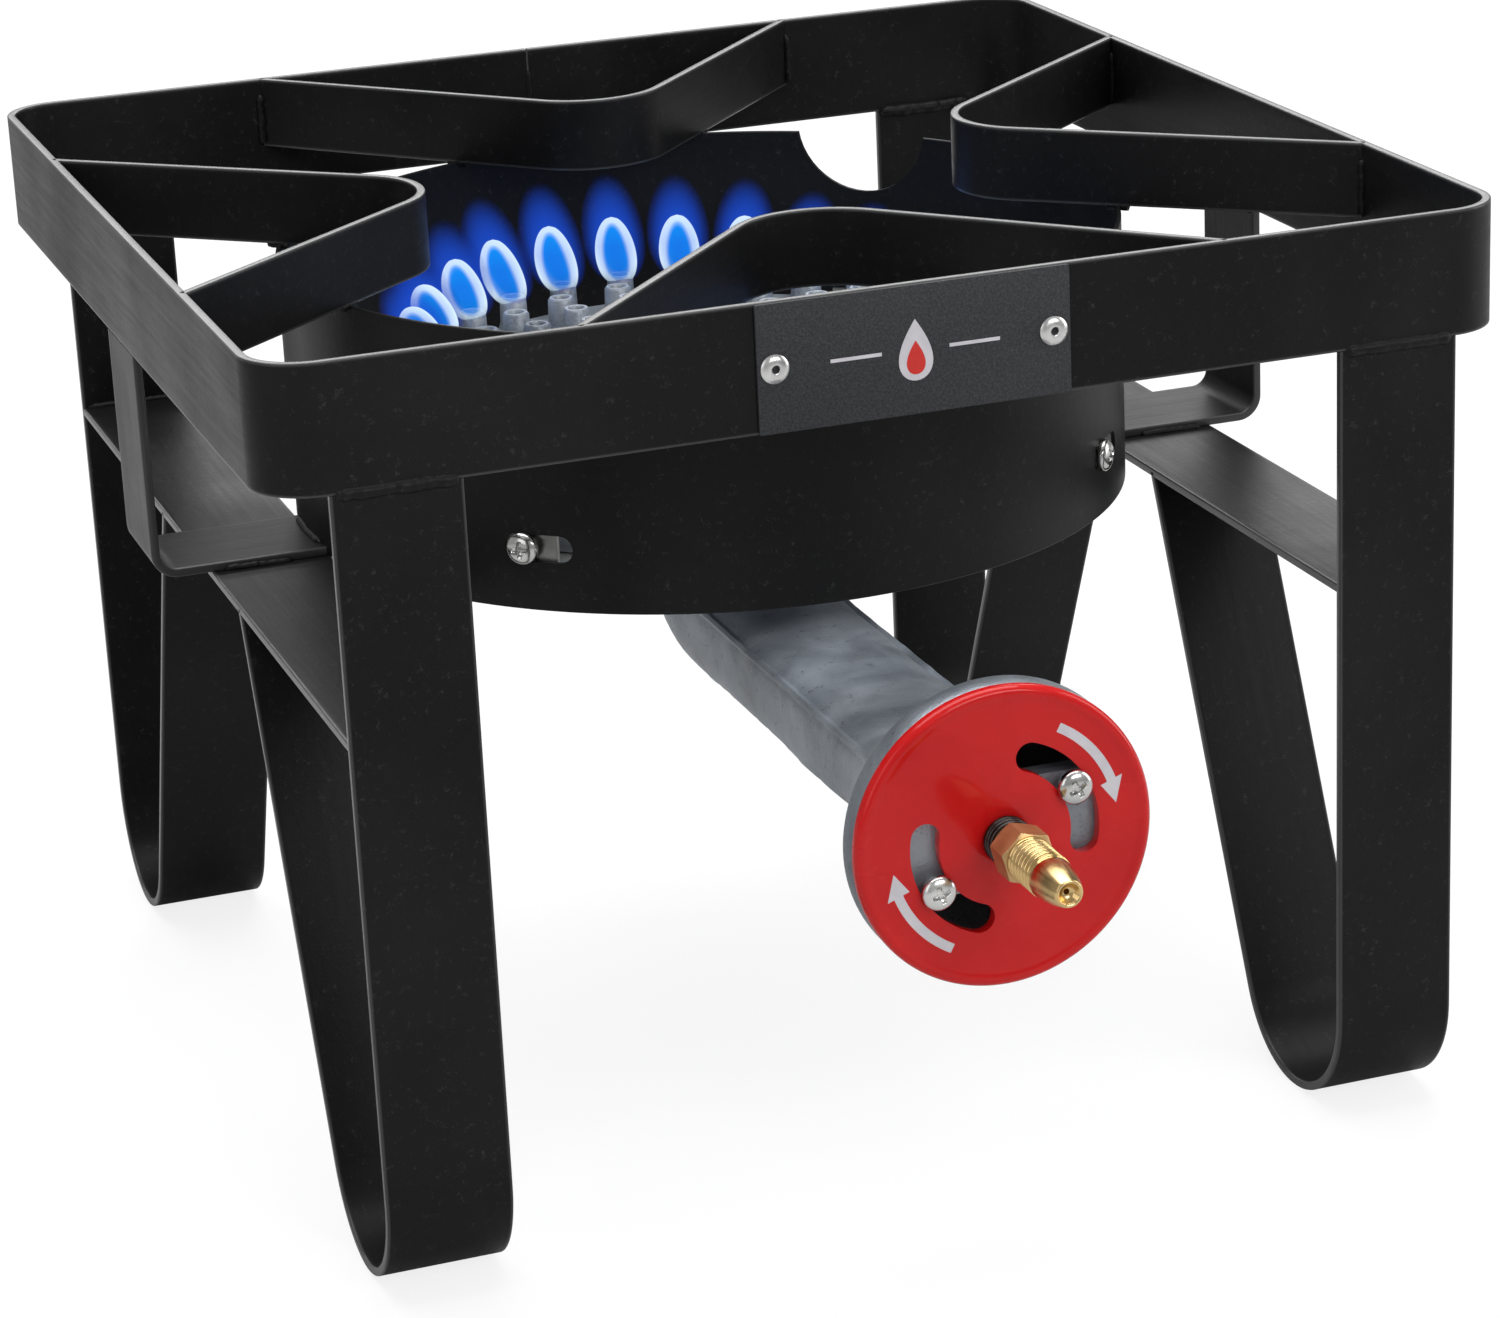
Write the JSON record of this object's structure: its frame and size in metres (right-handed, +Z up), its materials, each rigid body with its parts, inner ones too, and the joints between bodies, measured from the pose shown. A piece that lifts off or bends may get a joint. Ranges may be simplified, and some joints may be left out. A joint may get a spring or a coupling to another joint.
{
  "type": "propane burner stand",
  "caption": "Square welded flat-bar cooker stand with bent-bar legs, a round wind shield, a cast gas burner and a turning red air shutter behind a brass flare inlet.",
  "frame": {"origin": "on the floor, under the middle of the whole object's bounding box (gas inlet included); the burner's axis is 60.6 mm behind it", "axes": "+Z up, -Y towards the gas inlet and the name plate, +X to the right seen from the name plate"},
  "size_m": [0.4444, 0.5658, 0.336],
  "materials": {
    "black_powder_coat": "satin powder coat",
    "charcoal_plate": "fine textured matte",
    "bright_rivet": "satin",
    "silver_cast_paint": "silver heat paint over rough casting",
    "zinc_plate": "zinc plated",
    "gloss_red": "gloss",
    "brass": "machined",
    "black_spring": "black oxide"
  },
  "bodies": {
    "stand": {"top_ring": "black_powder_coat", "pot_support_front": "black_powder_coat", "pot_support_back": "black_powder_coat", "pot_support_left": "black_powder_coat", "pot_support_right": "black_powder_coat", "leg_front_left": "black_powder_coat", "leg_front_right": "black_powder_coat", "leg_back_left": "black_powder_coat", "leg_back_right": "black_powder_coat", "side_brace_left": "black_powder_coat", "side_brace_right": "black_powder_coat", "shield_strap_left": "black_powder_coat", "shield_strap_right": "black_powder_coat", "wind_shield": "black_powder_coat", "name_plate": "charcoal_plate", "name_plate_rivets": "bright_rivet", "burner_casting": "silver_cast_paint", "burner_cap": "silver_cast_paint", "burner_cap_bolt": "zinc_plate", "burner_hangers": "zinc_plate", "hanger_screws": "zinc_plate", "hanger_nuts": "zinc_plate", "shield_screws": "zinc_plate", "shield_nuts": "zinc_plate", "shutter_screws": "zinc_plate", "shutter_spring": "black_spring", "gas_fitting": "brass", "gas_jet": "brass"},
    "shutter": {"air_shutter": "gloss_red"}
  },
  "joints": [
    {"name": "air_shutter_turn", "type": "hinge", "parent": "stand", "child": "shutter", "pos_m": [0, -0.23037, 0.1644], "axis": [0, -1, 0], "range_deg": [-40, 40]}
  ]
}
